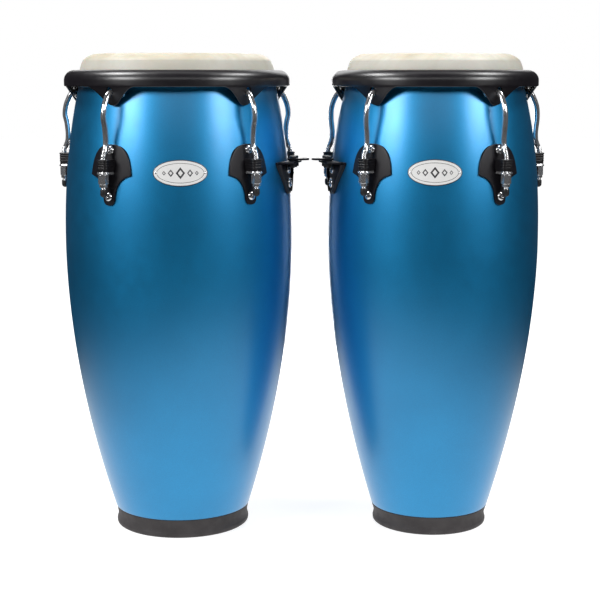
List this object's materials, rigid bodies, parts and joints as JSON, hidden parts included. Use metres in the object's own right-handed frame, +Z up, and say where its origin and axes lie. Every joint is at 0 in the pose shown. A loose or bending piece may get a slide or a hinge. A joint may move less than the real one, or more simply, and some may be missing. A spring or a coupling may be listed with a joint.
{
  "type": "conga drum pair",
  "caption": "Pair of tall conga drums with stave shells, rawhide heads, rolled black rims and chrome tension hooks on side-plate lugs.",
  "frame": {"origin": "on the floor, at the centre of the footprint of the pair", "axes": "+Z up, +X from the large drum to the small drum, -Y the side with the badges"},
  "size_m": [0.746, 0.3609, 0.719],
  "materials": {
    "shell_lacquer": "satin metallic blue lacquer over a glued stave shell",
    "foot_rubber": "moulded matt rubber",
    "hoop_steel": "plain bent and welded rod",
    "rawhide": "dry natural rawhide, mottled",
    "rim_black": "satin black powder coat",
    "hook_chrome": "polished",
    "cap_rubber": "soft black dip",
    "nut_chrome": "polished",
    "washer_chrome": "polished",
    "lug_black": "ribbed cast lug, satin black",
    "plate_black": "satin black powder coat",
    "screw_chrome": "polished",
    "inner_zinc": "zinc plated",
    "badge_plate": "satin plate with a plain dark border",
    "bracket_black": "satin black powder coat",
    "bolt_black": "black oxide"
  },
  "bodies": {
    "large_drum": {"large_shell": "shell_lacquer", "large_foot": "foot_rubber", "large_flesh_hoop": "hoop_steel", "large_head": "rawhide", "large_saddle_washers": "washer_chrome", "large_lug_receivers": "lug_black", "large_side_plates": "plate_black", "large_plate_screws": "screw_chrome", "large_inner_washers": "inner_zinc", "large_inner_nuts": "inner_zinc", "large_badge": "badge_plate", "large_badge_pins": "screw_chrome", "large_stand_bracket": "bracket_black", "large_bracket_screws": "screw_chrome", "large_stand_tongue": "bracket_black", "large_tongue_spacers": "cap_rubber", "large_tongue_bolts": "bolt_black"},
    "large_rim_and_hooks": {"large_rim": "rim_black", "large_tension_hooks": "hook_chrome", "large_hook_caps": "cap_rubber"},
    "large_nut_body_1": {"large_nut_1": "nut_chrome"},
    "large_nut_body_2": {"large_nut_2": "nut_chrome"},
    "large_nut_body_3": {"large_nut_3": "nut_chrome"},
    "large_nut_body_4": {"large_nut_4": "nut_chrome"},
    "large_nut_body_5": {"large_nut_5": "nut_chrome"},
    "small_drum": {"small_shell": "shell_lacquer", "small_foot": "foot_rubber", "small_flesh_hoop": "hoop_steel", "small_head": "rawhide", "small_saddle_washers": "washer_chrome", "small_lug_receivers": "lug_black", "small_side_plates": "plate_black", "small_plate_screws": "screw_chrome", "small_inner_washers": "inner_zinc", "small_inner_nuts": "inner_zinc", "small_badge": "badge_plate", "small_badge_pins": "screw_chrome", "small_stand_bracket": "bracket_black", "small_bracket_screws": "screw_chrome", "small_stand_tongue": "bracket_black", "small_tongue_spacers": "cap_rubber", "small_tongue_bolts": "bolt_black"},
    "small_rim_and_hooks": {"small_rim": "rim_black", "small_tension_hooks": "hook_chrome", "small_hook_caps": "cap_rubber"},
    "small_nut_body_1": {"small_nut_1": "nut_chrome"},
    "small_nut_body_2": {"small_nut_2": "nut_chrome"},
    "small_nut_body_3": {"small_nut_3": "nut_chrome"},
    "small_nut_body_4": {"small_nut_4": "nut_chrome"},
    "small_nut_body_5": {"small_nut_5": "nut_chrome"}
  },
  "joints": [
    {"name": "drum_spacing", "type": "slide", "parent": "large_drum", "child": "small_drum", "axis": [1, 0, 0], "range_m": [0, 0.25]},
    {"name": "large_rim_slack", "type": "slide", "parent": "large_drum", "child": "large_rim_and_hooks", "axis": [0, 0, 1], "range_m": [0, 0.003]},
    {"name": "large_nut_1_turn", "type": "hinge", "parent": "large_drum", "child": "large_nut_body_1", "pos_m": [-0.27907, -0.16707, 0.542], "axis": [0, 0, 1], "range_deg": [-766, 0]},
    {"name": "large_nut_2_turn", "type": "hinge", "parent": "large_drum", "child": "large_nut_body_2", "pos_m": [-0.06493, -0.14608, 0.542], "axis": [0, 0, 1], "range_deg": [-766, 0]},
    {"name": "large_nut_3_turn", "type": "hinge", "parent": "large_drum", "child": "large_nut_body_3", "pos_m": [-0.01872, 0.06408, 0.542], "axis": [0, 0, 1], "range_deg": [-766, 0]},
    {"name": "large_nut_4_turn", "type": "hinge", "parent": "large_drum", "child": "large_nut_body_4", "pos_m": [-0.20431, 0.17296, 0.542], "axis": [0, 0, 1], "range_deg": [-766, 0]},
    {"name": "large_nut_5_turn", "type": "hinge", "parent": "large_drum", "child": "large_nut_body_5", "pos_m": [-0.36522, 0.0301, 0.542], "axis": [0, 0, 1], "range_deg": [-766, 0]},
    {"name": "small_rim_slack", "type": "slide", "parent": "small_drum", "child": "small_rim_and_hooks", "axis": [0, 0, 1], "range_m": [0, 0.003]},
    {"name": "small_nut_1_turn", "type": "hinge", "parent": "small_drum", "child": "small_nut_body_1", "pos_m": [0.08811, -0.13943, 0.542], "axis": [0, 0, 1], "range_deg": [-766, 0]},
    {"name": "small_nut_2_turn", "type": "hinge", "parent": "small_drum", "child": "small_nut_body_2", "pos_m": [0.28856, -0.15486, 0.542], "axis": [0, 0, 1], "range_deg": [-766, 0]},
    {"name": "small_nut_3_turn", "type": "hinge", "parent": "small_drum", "child": "small_nut_body_3", "pos_m": [0.36517, 0.03101, 0.542], "axis": [0, 0, 1], "range_deg": [-766, 0]},
    {"name": "small_nut_4_turn", "type": "hinge", "parent": "small_drum", "child": "small_nut_body_4", "pos_m": [0.21207, 0.16131, 0.542], "axis": [0, 0, 1], "range_deg": [-766, 0]},
    {"name": "small_nut_5_turn", "type": "hinge", "parent": "small_drum", "child": "small_nut_body_5", "pos_m": [0.04084, 0.05597, 0.542], "axis": [0, 0, 1], "range_deg": [-766, 0]}
  ],
  "couplings": [
    {"joint": "large_nut_1_turn", "follows": "large_rim_slack", "rad_per_m": -4452.7},
    {"joint": "large_nut_2_turn", "follows": "large_rim_slack", "rad_per_m": -4452.7},
    {"joint": "large_nut_3_turn", "follows": "large_rim_slack", "rad_per_m": -4452.7},
    {"joint": "large_nut_4_turn", "follows": "large_rim_slack", "rad_per_m": -4452.7},
    {"joint": "large_nut_5_turn", "follows": "large_rim_slack", "rad_per_m": -4452.7},
    {"joint": "small_nut_1_turn", "follows": "small_rim_slack", "rad_per_m": -4452.7},
    {"joint": "small_nut_2_turn", "follows": "small_rim_slack", "rad_per_m": -4452.7},
    {"joint": "small_nut_3_turn", "follows": "small_rim_slack", "rad_per_m": -4452.7},
    {"joint": "small_nut_4_turn", "follows": "small_rim_slack", "rad_per_m": -4452.7},
    {"joint": "small_nut_5_turn", "follows": "small_rim_slack", "rad_per_m": -4452.7}
  ]
}
